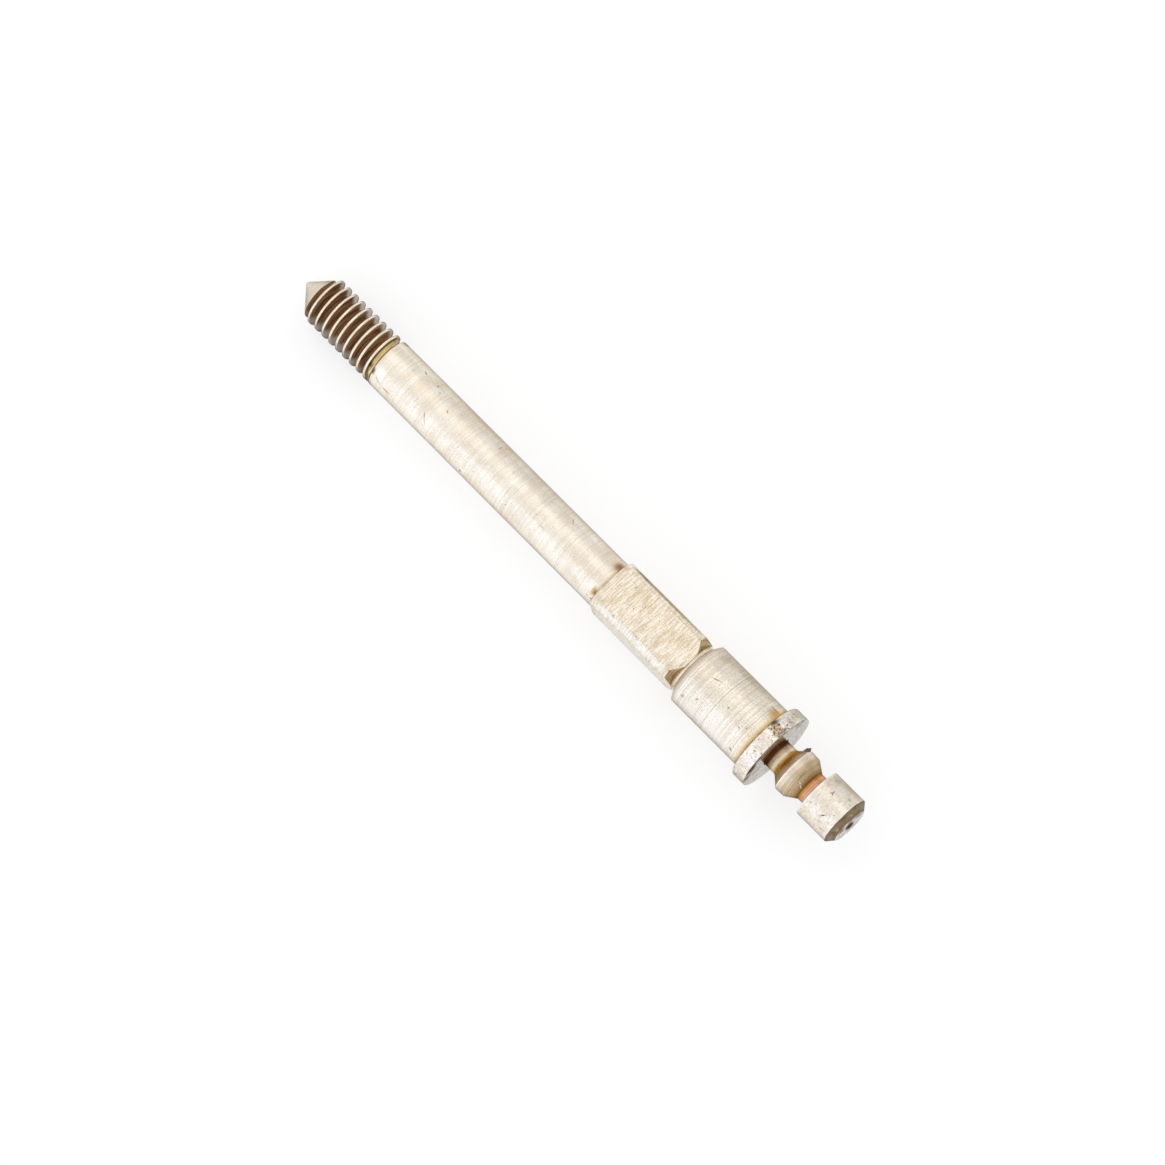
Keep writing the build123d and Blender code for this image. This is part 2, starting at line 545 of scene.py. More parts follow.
# The nick: the share of the collar's radius outside which it lies, its grain, how far and how
# often its edge wanders, and the level, the swing and the most of its depth
RIM_SHARE = 0.9
NICK_GRAIN = 0.045 * MM
NICK_WANDER = 0.06 * MM
NICK_WANDER_SPACING = 0.08 * MM
CRUSHED_LEVEL, CRUSHED_SWING, CRUSHED_MOST = 0.6, 1.8, 1.5

# The lip along the nick: its width, and the level of its height
LIP_WIDTH = 0.035 * MM
LIP_LEVEL = 0.3

# The burr: its grain, how steep its sides are, and the level and swing of its height
BURR_GRAIN = 0.03 * MM
BURR_STEEPNESS = 6
BURR_LEVEL, BURR_SWING = 0.85, 0.5


def dent_and_burr(points, turned, wear):
    """Moves the points of the collar's nick and of the burr on the detent cone."""
    collar = turned.collar_diameter / 2
    for i, point in enumerate(points):
        x, y, z = point
        radius, angle = math.hypot(y, z), math.atan2(z, y)
        grown = radius
        if 0 <= x <= LEVER_GROOVE[0] and radius > collar * RIM_SHARE:
            off = abs((angle - wear.nick_angle) * collar)
            off += NICK_WANDER * noise.noise(Vector(point) / NICK_WANDER_SPACING)
            rough = noise.noise(Vector(point) / NICK_GRAIN)
            inside = smooth(2 * (1 - off / wear.nick_half_width))
            crushed = inside * min(CRUSHED_MOST, max(0.0, CRUSHED_LEVEL + CRUSHED_SWING * rough))
            lip = math.exp(-(((off - wear.nick_half_width) / LIP_WIDTH) ** 2))
            grown += wear.lip_height * lip * (rough + LIP_LEVEL) - wear.nick_depth * crushed
        elif LEVER_GROOVE[1] < x < DETENT_GROOVE[0]:
            off = math.hypot((angle - wear.burr_angle) * radius, x - wear.burr_place)
            rough = noise.noise(Vector(point) / BURR_GRAIN)
            rise = math.exp(-((off / wear.burr_radius) ** BURR_STEEPNESS))
            grown += wear.burr_height * rise * (BURR_LEVEL + BURR_SWING * rough)
        if grown != radius:
            points[i] = (x, y * grown / radius, z * grown / radius)


def make_bar():
    """Builds the bar's mesh and gives the object."""
    scene = bpy.context.scene
    thread, turned = scene.stem_thread, scene.stem_turned
    bar = Bar(thread.fade_end)
    turn_tip(bar, thread)
    start = wind_thread(bar, thread, turned)
    start = turn_shank(bar, turned, start)
    start = mill_square(bar, turned, start)
    turn_head(bar, turned, start)
    dent_and_burr(bar.points, turned, scene.stem_wear)
    mesh = bpy.data.meshes.new("winding_stem_bar")
    mesh.from_pydata(bar.points, [], bar.faces)
    mesh.validate()
    mesh.polygons.foreach_set("material_index", bar.finish)
    mesh.polygons.foreach_set("use_smooth", [True] * len(mesh.polygons))
    piece = bpy.data.objects.new("winding_stem_bar", mesh)
    scene.collection.objects.link(piece)
    # Large faces keep their own direction, so that only the small faces of an edge look rounded
    piece.modifiers.new("Weighted normals", "WEIGHTED_NORMAL")
    return piece


# Materials. Each pattern is worked out in millimetres from the piece's own place.


def add_node(tree, kind, inputs, **settings):
    """Adds a shader node with its settings. An input is a value or the socket linked to it."""
    node = tree.nodes.new("ShaderNode" + kind)
    for name, value in settings.items():
        setattr(node, name, value)
    for key, value in inputs.items():
        if isinstance(value, bpy.types.NodeSocket):
            tree.links.new(value, node.inputs[key])
        else:
            node.inputs[key].default_value = value
    return node


class Pattern:
    """Short words for the few nodes that the steel's patterns are made of."""

    def __init__(self, tree):
        self.tree = tree
        self.place = add_node(tree, "TexCoord", {}).outputs
        self.where = self.vector("MULTIPLY", self.place["Object"], (1 / MM,) * 3)

    def vector(self, operation, *values):
        """One step of vector mathematics."""
        node = add_node(self.tree, "VectorMath", dict(enumerate(values)), operation=operation)
        return node.outputs["Value" if operation == "LENGTH" else "Vector"]

    def value(self, operation, *values):
        """One step of mathematics."""
        node = add_node(self.tree, "Math", dict(enumerate(values)), operation=operation)
        return node.outputs[0]

    def ranged(self, value, low, high, to_low=0.0, to_high=1.0, kind="LINEAR"):
        """A value mapped from one range to another and kept inside it."""
        ends = {"From Min": low, "From Max": high, "To Min": to_low, "To Max": to_high}
        node = add_node(self.tree, "MapRange", {"Value": value, **ends}, interpolation_type=kind)
        return node.outputs["Result"]

    def mixed(self, factor, first, second):
        """One colour laid over another. Colours are sockets, hex values or settings."""
        colours = {
            6 + i: c if isinstance(c, bpy.types.NodeSocket) else linear(c)
            for i, c in enumerate((first, second))
        }
        node = add_node(self.tree, "Mix", {0: factor, **colours}, data_type="RGBA")
        return node.outputs[2]

    def multiplied(self, first, second):
        """One colour seen through a film of another."""
        inputs = {0: 1.0, 6: first, 7: second}
        settings = {"data_type": "RGBA", "blend_type": "MULTIPLY"}
        return add_node(self.tree, "Mix", inputs, **settings).outputs[2]

    def noise(self, spacing, detail, run=None, output="Fac"):
        """Noise of a spacing in millimetres, drawn out round the bar to a run."""
        where = self.where
        if run:
            where = self.vector("MULTIPLY", where, (1, spacing / run, spacing / run))
        inputs = {"Vector": where, "Scale": 1 / spacing, "Detail": detail}
        return add_node(self.tree, "TexNoise", inputs).outputs[output]

    def along(self, where):
        """Place along the axis, in millimetres."""
        return add_node(self.tree, "SeparateXYZ", {"Vector": where}).outputs["X"]

    def drifted(self, amount, spacing):
        """The place, moved about by noise so that no edge drawn with it is clean."""
        moved = self.noise(spacing, detail=2.0, output="Color")
        moved = self.vector("SUBTRACT", moved, (0.5,) * 3)
        return self.vector("MULTIPLY_ADD", moved, (amount,) * 3, self.where)


# The range that noise mostly keeps inside
NOISE_RANGE = (0.3, 0.7)

# Spacing of the finest grain, of the clouds in the tint and of the pits, in millimetres
GRAIN = 0.035
CLOUDS = 0.35
PITS = 0.05

# Softness of the pits' edge, and height of the grain as a share of the tool lines' height
PIT_EDGE = 0.04
GRAIN_HEIGHT = 0.5

# How much the tool lines change the roughness, and how much rougher dirt is than metal
ROUGHNESS_SWING = 0.05
DIRT_ROUGHNESS = 0.3

# Colours of stains that are dirt, not oil on bare steel, how much metal shows through full
# dirt, and how strongly dirt and metal mirror
DIRT = ("brown", "grime", "chalk")
METAL_IN_DIRT = 0.1
DIRT_SHINE, METAL_SHINE = 0.05, 0.5

# How soft a stain is outside its edge, as a share of its softness inside, how deep it reaches
# into the bar, and the width of one that goes round the bar, in millimetres
OUTER_SOFTNESS = 0.3
STAIN_DEPTH = 0.5
ALL_ROUND = 1e4

# Dried polish, in millimetres: the radius under which it starts, how much that wanders, and
# over what depth it comes in. The cone's radius is its place along the axis plus CONE_OFFSET.
POLISH_RADIUS = 0.597
POLISH_WANDER = 0.0025
POLISH_EDGE = (0.001, 0.008)
CONE_OFFSET = 0.025 - TIP / MM

# The thread's last groove, in millimetres: where it starts, and at what depth it is golden
LAST_GROOVE = (-12.19, -12.15)
GOLDEN_DEPTH = (0.045, 0.075)

# How much polish and film hide the metal
POLISH_COVER, FILM_COVER = 0.85, 0.1


# A stain, a scratch, or a patch of painted shade or highlight: place along the axis, angle round
# it, radius there, half its length, half its width, slant, colour, strength and softness of its
# edge, in millimetres and degrees. Its length lies along the axis, turned by the slant. Without an
# angle it goes round the bar.
Stain = namedtuple("Stain", "place angle radius length width slant colour strength softness")


def lay_stain(pattern, under, where, stain, finish):
    """Colour with one stain, or one patch of painted shade or highlight, laid over it, and how much
    it covers.
    """
    if stain.angle is None:
        out, location = Vector((0, 0, 1)), (stain.place, 0, 0)
        scale = (stain.length, ALL_ROUND, ALL_ROUND)
    else:
        angle = math.radians(stain.angle)
        out = Vector((0, math.cos(angle), math.sin(angle)))
        location = out * stain.radius + Vector((stain.place, 0, 0))
        scale = (stain.length, stain.width, min(max(stain.length, stain.width), STAIN_DEPTH))
    slope = math.radians(stain.slant)
    axis = Vector((1, 0, 0))
    lengthwise = math.cos(slope) * axis + math.sin(slope) * axis.cross(out)
    rotation = Matrix((lengthwise, out.cross(lengthwise), out)).transposed().to_euler()
    inputs = {"Vector": where, "Location": location, "Rotation": rotation, "Scale": scale}
    local = add_node(pattern.tree, "Mapping", inputs, vector_type="TEXTURE")
    away = pattern.vector("LENGTH", local.outputs["Vector"])
    inner, outer = 1 - stain.softness, 1 + stain.softness * OUTER_SOFTNESS
    cover = pattern.ranged(away, inner, outer, stain.strength, 0.0, "SMOOTHSTEP")
    return pattern.mixed(cover, under, getattr(finish, stain.colour)), cover


def dried_polish(pattern, under, finish):
    """Polish dried in the thread, from just under the crests down, and how much it covers.

    In the last groove it is a film of oil instead, golden deep down and olive above, and golden all
    over the flanks that face the tip, which is a painted highlight.
    """
    across = pattern.vector("MULTIPLY", pattern.where, (0, 1, 1))
    radius = pattern.vector("LENGTH", across)
    along = pattern.along(pattern.where)
    cone = pattern.value("ADD", along, CONE_OFFSET)
    wander = pattern.noise(GRAIN, detail=2.0)
    wander = pattern.ranged(wander, *NOISE_RANGE, -POLISH_WANDER, POLISH_WANDER)
    envelope = pattern.value("ADD", pattern.value("MINIMUM", cone, POLISH_RADIUS), wander)
    depth = pattern.value("SUBTRACT", envelope, radius)
    down = pattern.ranged(depth, *POLISH_EDGE)
    streaks = pattern.noise(GRAIN, detail=3.0, run=0.6)
    streaks = pattern.ranged(streaks, low=0.36, high=0.64)
    residue = pattern.mixed(streaks, finish.flank_dark, finish.flank)
    patches = pattern.noise(spacing=0.06, detail=3.0, run=1.2)
    patches = pattern.ranged(patches, low=0.50, high=0.66, to_high=0.5)
    residue = pattern.mixed(patches, residue, finish.olive)
    golden = pattern.ranged(depth, *GOLDEN_DEPTH)
    # Painted highlight: in the last groove every flank that faces the tip is made golden.
    tip_flank_highlight = pattern.ranged(pattern.along(pattern.place["Normal"]), low=0.0, high=-0.2)
    golden = pattern.value("MAXIMUM", golden, tip_flank_highlight)
    film = pattern.mixed(golden, finish.olive_dark, finish.gold_pale)
    last = pattern.ranged(along, *LAST_GROOVE)
    residue = pattern.mixed(last, residue, film)
    hidden = pattern.ranged(last, 0.0, 1.0, POLISH_COVER, FILM_COVER)
    return pattern.mixed(down, under, residue), pattern.value("MULTIPLY", down, hidden)


def film_ramp(pattern, films):
    """Colours of the oil films by their place along the axis."""
    along = pattern.along(pattern.drifted(amount=0.02, spacing=0.1))
    start, end = films[0][0], films[-1][0]
    ramp = add_node(pattern.tree, "ValToRGB", {"Fac": pattern.ranged(along, start, end)})
    stops = ramp.color_ramp.elements
    stops[0].color, stops[1].color = linear(films[0][1]), linear(films[-1][1])
    for place, value in films[1:-1]:
        stops.new((place - start) / (end - start)).color = linear(value)
    return ramp.outputs["Color"]


def steel(
    name,
    colours,
    lines,
    edge,
    films=(),
    stains=(),
    threaded=False,
    pitted=0.3,
    line_share=0.5,
    cloud_share=0.25,
    spread=0.07,
):
    """Carbon steel: two tints in clouds and tool lines, with films and stains laid on it, among
    them painted shade and highlights.

    lines is the spacing of the tool lines, their length round the bar and their depth, in
    millimetres. edge is how bright the steel is at a grazing angle, and pitted how pitted it is.
    line_share and cloud_share are how much of the tint lies in the tool lines and in the clouds,
    and spread is how softly its two colours meet.
    """
    finish = bpy.context.scene.stem_finish
    spacing, run, depth = lines
    material = bpy.data.materials.new(name)
    material.use_nodes = True
    tree = material.node_tree
    tree.nodes.clear()
    pattern = Pattern(tree)
    tool_lines = pattern.noise(spacing, detail=3.0, run=run)
    grain = pattern.noise(GRAIN, detail=2.0)
    uneven = pattern.value("MULTIPLY", pattern.noise(CLOUDS, detail=4.0), cloud_share)
    uneven = pattern.value("MULTIPLY_ADD", grain, 1 - line_share - cloud_share, uneven)
    tint = pattern.value("MULTIPLY_ADD", tool_lines, line_share, uneven)
    seen = pattern.mixed(pattern.ranged(tint, 0.5 - spread, 0.5 + spread), *colours)
    metallic = 1.0
    if threaded:
        seen, cover = dried_polish(pattern, seen, finish)
        metallic = pattern.value("SUBTRACT", 1.0, cover)
    if films:
        seen = pattern.multiplied(seen, film_ramp(pattern, films))
    where = pattern.drifted(amount=0.05, spacing=0.16)
    dirty = False
    for stain in stains:
        seen, cover = lay_stain(pattern, seen, where, stain, finish)
        if stain.colour in DIRT:
            bare = pattern.ranged(cover, 0.0, 1.0, 1.0, METAL_IN_DIRT)
            metallic = pattern.value("MULTIPLY", metallic, bare)
            dirty = True
    shine = METAL_SHINE
    if dirty and not threaded:
        shine = pattern.ranged(metallic, 0.0, 1.0, DIRT_SHINE, METAL_SHINE)
    # Small pits, filled with dirt
    pits = pattern.noise(PITS, detail=3.0)
    pits = pattern.ranged(pits, 1 - pitted, 1 + PIT_EDGE - pitted)
    seen = pattern.mixed(pits, seen, finish.grime)
    smoothest, roughest = finish.roughness - ROUGHNESS_SWING, finish.roughness + ROUGHNESS_SWING
    rough = pattern.ranged(tool_lines, *NOISE_RANGE, smoothest, roughest)
    dirt = pattern.value("SUBTRACT", 1.0, metallic)
    rough = pattern.value("MULTIPLY_ADD", dirt, DIRT_ROUGHNESS, rough)
    height = pattern.value("MULTIPLY_ADD", grain, GRAIN_HEIGHT, tool_lines)
    bump = add_node(tree, "Bump", {"Height": height, "Distance": depth * MM})
    surface = {
        "Base Color": seen,
        "Normal": bump.outputs["Normal"],
        "Metallic": metallic,
        "Roughness": rough,
        "Specular IOR Level": shine,
        "Specular Tint": (edge,) * 3 + (1,),
    }
    shader = add_node(tree, "BsdfPrincipled", surface)
    add_node(tree, "OutputMaterial", {"Surface": shader.outputs["BSDF"]})
    return material


def marks(*rows, radius=None):
    """Stains, and patches of painted shade and highlight, of one region. Where all of them lie at
    one radius, their rows leave it out.

    A row of five values goes round the bar, and has no angle, radius, width or slant.
    """
    made = []
    for row in rows:
        if len(row) == 5:
            row = (row[0], None, 0, row[1], 0, 0, *row[2:])
        elif radius:
            row = (*row[:2], radius, *row[2:])
        made.append(Stain(*row))
    return made


GROOVE_STAINS = marks((-2.145, 0.03, "chalk", 0.70, 0.8))
THREAD_STAINS_AND_SHADE = marks(
    # The first two rows grey the crests along the thread's two silhouettes: painted shade.
    (-13.15, 18, 0.600, 1.20, 0.22, 0, "face", 0.80, 0.6),
    (-13.15, 172, 0.600, 1.20, 0.22, 0, "face_dull", 0.75, 0.6),
    (-11.98, 132, 0.595, 0.10, 0.12, 0, "brown", 0.95, 0.6),
)
SHANK_STAINS_AND_SHADE = marks(
    (-14.35, 0.40, "olive", 0.16, 0.8),
    # The two copper rows at 50 degrees are copper oil and painted shade beside the square's upper
    # front corner.
    (-4.91, 50, 0.16, 0.22, 0, "copper", 0.65, 0.9),
    (-4.87, 50, 0.13, 0.18, 0, "copper_dark", 0.85, 0.9),
    (-11.08, 51, 0.075, 0.0225, 30, "grime", 0.88, 0.8),
    (-10.75, 46, 0.26, 0.12, 0, "gold", 0.22, 1.0),
    (-10.66, 53, 0.025, 0.0375, 0, "grime", 0.80, 0.8),
    (-10.50, 63, 0.025, 0.025, 0, "grime", 0.64, 0.8),
    (-10.34, 124, 0.163, 0.0137, 50, "brown", 0.56, 0.7),
    (-10.05, 81, 0.0438, 0.025, 30, "grime", 0.64, 0.8),
    (-11.45, 147, 0.125, 0.0375, 0, "gold", 0.72, 0.9),
    (-11.75, 140, 0.175, 0.0375, 25, "grime", 0.35, 1.0),
    (-9.45, 137, 0.0875, 0.00875, -3, "gold", 0.56, 0.6),
    (-9.00, 161, 0.0375, 0.0375, 0, "grime", 0.90, 0.8),
    (-8.02, 73, 0.0375, 0.0375, 0, "copper", 0.32, 1.0),
    (-8.66, 52, 0.015, 0.0875, 0, "olive", 0.64, 0.9),
    (-7.82, 0.011, "grime", 0.20, 0.9),
    (-7.73, 0.009, "grime", 0.16, 0.9),
    (-7.665, 0.012, "grime", 0.24, 0.9),
    (-7.17, 0.012, "grime", 0.22, 0.9),
    (-7.08, 0.010, "grime", 0.18, 0.9),
    (-6.99, 0.010, "grime", 0.15, 0.9),
    (-9.82, 0.009, "grime", 0.12, 0.9),
    (-5.96, 0.011, "grime", 0.25, 0.9),
    (-5.40, 0.012, "grime", 0.12, 0.9),
    (-5.22, 0.010, "grime", 0.12, 0.9),
    (-6.70, 111, 0.1, 0.025, 0, "copper", 0.45, 1.0),
    (-6.34, 53, 0.0625, 0.0175, 40, "brown", 0.72, 0.8),
    (-6.29, 58, 0.05, 0.015, 5, "brown", 0.56, 0.8),
    (-5.10, 97, 0.25, 0.25, 0, "gold", 0.08, 1.0),
    (-5.25, 43, 0.35, 0.1, 0, "olive", 0.16, 1.0),
    # These four rows, from 130 to 153 degrees, are oil and painted shade beside the square's lower
    # front corner.
    (-4.88, 130, 0.085, 0.15, 0, "gold", 0.92, 0.8),
    (-4.85, 131, 0.04, 0.08, 0, "olive", 0.80, 0.8),
    (-4.99, 153, 0.025, 0.025, 0, "brown", 0.90, 0.8),
    (-4.86, 152, 0.0375, 0.025, 0, "brown", 0.90, 0.8),
    # Painted shade along the shank's upper side.
    (-8.45, 38, 3.90, 0.24, 0, "olive", 0.34, 0.9),
    radius=0.605,
)
SQUARE_STAINS_AND_LIGHT = marks(
    # Painted highlights: the rim row lightens the square's lower flat and the bare row its lower
    # corner, all along the square.
    (-3.46, 180, 0.630, 1.35, 0.50, 0, "rim", 0.40, 0.3),
    (-3.53, 135, 0.780, 1.25, 0.10, 0, "bare", 0.35, 0.6),
    (-3.06, 55, 0.706, 0.0312, 0.0625, 10, "grime", 0.90, 0.8),
    (-4.03, 85, 0.600, 0.0312, 0.0375, 0, "grime", 0.80, 0.8),
    (-4.00, 57, 0.690, 0.025, 0.0375, 0, "grime", 0.64, 0.8),
    (-4.26, 63, 0.656, 0.0375, 0.075, 0, "olive", 0.72, 0.9),
    (-4.10, 68, 0.634, 0.35, 0.28, 0, "gold", 0.16, 1.0),
    (-2.62, 77, 0.610, 0.22, 0.3, 0, "gold", 0.15, 1.0),
    (-3.75, 80, 0.604, 0.025, 0.025, 0, "grime", 0.56, 0.8),
    (-2.92, 109, 0.647, 0.025, 0.025, 0, "grime", 0.56, 0.8),
    (-4.16, 130, 0.780, 0.0625, 0.0375, 30, "olive", 0.56, 0.9),
    (-3.45, 128, 0.780, 0.0875, 0.025, 20, "grime", 0.40, 0.9),
    # Painted shade along the square's upper corner.
    (-3.58, 40, 0.785, 1.22, 0.075, 0, "olive", 0.75, 0.7),
    (-4.35, 40, 0.785, 0.30, 0.060, 0, "brown", 0.45, 0.8),
)
SEAT_STAINS_AND_LIGHT = marks(
    # Painted highlight along the seat's lower side.
    (-1.00, 152, 1.30, 0.28, 0, "bare", 0.50, 1.0),
    (-2.09, 0.10, "chalk", 0.80, 0.5),
    (-1.15, 0.012, "grime", 0.22, 0.9),
    (-1.77, 0.012, "grime", 0.20, 0.9),
    (-1.40, 0.012, "grime", 0.20, 0.9),
    (-1.00, 0.010, "grime", 0.15, 0.9),
    (-1.90, 0.010, "grime", 0.15, 0.9),
    (-0.72, 0.010, "grime", 0.10, 0.9),
    (-1.53, 84, 0.144, 0.015, -20, "olive", 0.90, 0.8),
    (-0.91, 102, 0.025, 0.025, 0, "grime", 0.90, 0.8),
    (-0.32, 104, 0.025, 0.025, 0, "grime", 0.80, 0.8),
    (-0.456, 112, 0.0375, 0.0187, 10, "grime", 0.80, 0.8),
    (-1.55, 128, 0.025, 0.025, 0, "grime", 0.80, 0.8),
    (-0.30, 151, 0.0625, 0.0375, 30, "brown", 0.64, 0.8),
    (-1.85, 143, 0.0625, 0.0625, 0, "grime", 0.48, 1.0),
    # The three olive rows at 35 to 45 degrees darken the seat's upper side: painted shade.
    (-1.80, 45, 0.30, 0.16, 0, "olive", 0.35, 1.0),
    (-1.20, 41, 0.6, 0.1, 0, "olive", 0.14, 1.0),
    (-1.10, 35, 1.20, 0.26, 0, "olive", 0.45, 0.9),
    (-0.04, 0.16, "gold_pale", 0.80, 0.9),
    (-0.02, 0.10, "gold", 0.72, 0.9),
    (-0.005, 0.038, "brown", 0.90, 0.6),
    (-0.12, 53, 0.22, 0.18, 0, "gold", 0.85, 0.9),
    (-0.22, 47, 0.163, 0.0375, 0, "brown", 0.48, 0.9),
    (-0.03, 59, 0.05, 0.16, 0, "brown", 0.50, 0.8),
    radius=0.805,
)
COLLAR_STAINS_AND_SHADE = marks(
    (0.17, 76, 0.950, 0.17, 0.13, 0, "gold", 0.60, 0.8),
    (0.03, 72, 0.960, 0.06, 0.09, 20, "brown", 0.65, 0.8),
    (0.31, 73, 0.960, 0.05, 0.08, 0, "brown", 0.60, 0.8),
    (0.20, 82, 0.960, 0.04, 0.05, 40, "brown", 0.55, 0.8),
    (0.0, 0.010, "gold", 0.60, 0.9),
    (0.26, 54, 0.985, 0.12, 0.08, 0, "olive", 0.45, 1.0),
    # Painted shade on the collar's upper side.
    (0.18, 36, 0.985, 0.30, 0.36, 0, "olive", 0.40, 1.0),
    (0.02, 71, 0.970, 0.0625, 0.163, 20, "brown", 0.88, 0.9),
    (0.13, 70, 0.975, 0.05, 0.0375, 0, "brown", 0.90, 0.7),
    (0.30, 68, 0.975, 0.05, 0.0625, 0, "brown", 0.70, 0.7),
    (0.11, 77, 0.965, 0.0438, 0.0438, 30, "brown", 0.88, 0.7),
    (0.22, 74, 0.965, 0.0375, 0.025, 0, "brown", 0.65, 0.7),
    (0.30, 79, 0.965, 0.0625, 0.0375, -40, "brown", 0.65, 0.7),
    (0.20, 82, 0.970, 0.075, 0.025, 30, "brown", 0.60, 0.7),
    (0.06, 83, 0.975, 0.0375, 0.025, 0, "brown", 0.64, 0.7),
    (0.18, 76, 0.970, 0.17, 0.13, 0, "gold", 0.22, 0.7),
)
FACE_STAINS_AND_SHADE = marks(
    # The brown rows at 146 and 167 degrees are brown stain with a painted dark reflection of the
    # neck on the collar's face.
    (0.49, 146, 0.900, 0.19, 0.24, 0, "brown", 0.80, 0.6),
    (0.48, 167, 0.920, 0.20, 0.22, 0, "brown", 0.85, 0.5),
    (0.48, 176, 0.640, 0.20, 0.10, 0, "grime", 0.85, 0.8),
    (0.49, 28, 0.930, 0.19, 0.10, 0, "grime", 0.75, 0.8),
    (0.36, 57, 0.975, 0.0625, 0.15, 0, "olive", 0.72, 0.8),
    # Brown stain with a painted dark reflection along the rim's edge of the collar's face.
    (0.36, 143, 0.965, 0.07, 0.24, 0, "brown", 0.98, 0.4),
    (0.36, 125, 0.970, 0.04, 0.2, 0, "brown", 0.75, 0.6),
    (0.36, 71, 0.965, 0.05, 0.1, 0, "brown", 0.85, 0.6),
    (0.36, 43, 0.900, 0.10, 0.10, 0, "grime", 0.88, 0.8),
    (0.36, 30, 0.780, 0.10, 0.08, 0, "grime", 0.70, 0.8),
    (0.36, 152, 0.800, 0.10, 0.10, 0, "grime", 0.70, 0.8),
    (0.36, 33, 0.960, 0.0625, 0.1, 0, "grime", 0.72, 0.8),
    (2.62, 57, 0.400, 0.14, 0.13, 0, "grime", 0.75, 0.9),
    (2.62, 82, 0.380, 0.14, 0.12, 0, "grime", 0.90, 0.9),
    (2.62, 30, 0.330, 0.14, 0.10, 0, "brown", 0.80, 0.9),
    (2.62, 125, 0.380, 0.14, 0.12, 0, "grime", 0.75, 0.9),
    (2.62, 144, 0.330, 0.08, 0.10, 0, "brown", 0.80, 0.9),
    (2.58, 97, 0.050, 0.30, 0.14, 0, "brown", 0.98, 0.4),
)
HEAD_STAINS = marks(
    (0.81, 8, 0.540, 0.13, 0.13, 0, "grime", 0.95, 0.5),
    (1.27, 110, 0.460, 0.0438, 0.01, 20, "rim", 0.90, 0.7),
    (1.34, 119, 0.420, 0.0625, 0.01, 40, "rim", 0.90, 0.7),
    (1.20, 92, 0.520, 0.025, 0.15, 0, "grime", 0.56, 0.9),
)
PILOT_STAINS_AND_SHADE = marks(
    (2.452, 0.010, "bare", 0.80, 0.8),
    # The two face_dull rows at 22 and 172 degrees grey the pilot's end along its two silhouettes:
    # painted shade.
    (2.545, 22, 0.520, 0.10, 0.22, 0, "face_dull", 0.60, 1.0),
    (2.545, 172, 0.520, 0.10, 0.20, 0, "face_dull", 0.50, 1.0),
    (2.510, 98, 0.570, 0.04, 0.16, 0, "brown", 0.55, 1.0),
    (2.500, 60, 0.560, 0.04, 0.06, 0, "brown", 0.45, 0.9),
    (2.560, 76, 0.510, 0.03, 0.05, 20, "face_dull", 0.55, 0.9),
    (2.570, 128, 0.500, 0.03, 0.06, -20, "face_dull", 0.60, 0.9),
    (2.540, 140, 0.530, 0.04, 0.05, 0, "brown", 0.50, 0.9),
) + marks(
    (1.95, 72, 0.018, 0.05, 0, "grime", 0.85, 0.8),
    (1.97, 77, 0.045, 0.014, 55, "grime", 0.90, 0.8),
    (1.93, 77, 0.045, 0.014, -55, "grime", 0.85, 0.8),
    (2.145, 123, 0.07, 0.018, -45, "brown", 0.98, 0.7),
    (2.20, 116, 0.025, 0.0375, 0, "gold", 0.64, 0.9),
    (2.09, 117, 0.0187, 0.0375, 0, "gold", 0.48, 0.9),
    (2.15, 138, 0.075, 0.0187, 0, "gold", 0.72, 0.9),
    (2.08, 129, 0.0375, 0.015, 40, "gold", 0.56, 0.9),
    (1.86, 115, 0.0375, 0.0375, 0, "grime", 0.32, 1.0),
    (1.80, 43, 0.163, 0.125, 0, "olive", 0.48, 1.0),
    (1.64, 0.012, "rim", 0.70, 0.8),
    # Painted shade along the pilot's upper side.
    (2.10, 35, 0.60, 0.20, 0, "olive", 0.45, 1.0),
    (2.30, 57, 0.0625, 0.0375, 20, "grime", 0.48, 0.9),
    (2.38, 67, 0.0375, 0.025, -30, "grime", 0.48, 0.9),
    (1.78, 97, 0.025, 0.025, 0, "grime", 0.56, 0.9),
    (2.33, 125, 0.0625, 0.025, 30, "gold", 0.56, 0.9),
    (2.28, 149, 0.0625, 0.025, -20, "grime", 0.56, 0.9),
    radius=0.605,
)

# Oil films on the narrow head and the pilot, with painted shade at the neck's root and a painted
# dark reflection on the pilot's end chamfer: place along the axis in millimetres, and colour
HEAD_FILMS_AND_SHADE = (
    # The two dark brown stops at the neck's root, by the collar's face, are painted shade in that
    # corner.
    (0.350, "#5A3418"),
    (0.425, "#5E3416"),
    (0.480, "#B8A088"),
    (0.600, "#F2E2C8"),
    (0.680, "#E6B858"),
    (0.720, "#E0AC54"),
    (0.760, "#D0AA78"),
    (0.890, "#F0DCC4"),
    (0.910, "#FFF8F2"),
    (0.980, "#EEDFCB"),
    (1.140, "#D6C6AC"),
    (1.280, "#C4AC8A"),
    (1.390, "#8A6430"),
    (1.430, "#C08850"),
    (1.480, "#E6AE7A"),
    (1.540, "#DCAC92"),
    (1.600, "#B88878"),
    (1.618, "#FFF8F0"),
)
PILOT_FILMS_AND_SHADE = (
    (1.60, "#FFFFFF"),
    (1.72, "#FDF6EC"),
    (2.45, "#FFFAF2"),
    # The last stops brown the pilot's end chamfer: oil, with a painted dark reflection.
    (2.47, "#8A7860"),
    (2.53, "#94836C"),
    (2.62, "#7C6C56"),
)


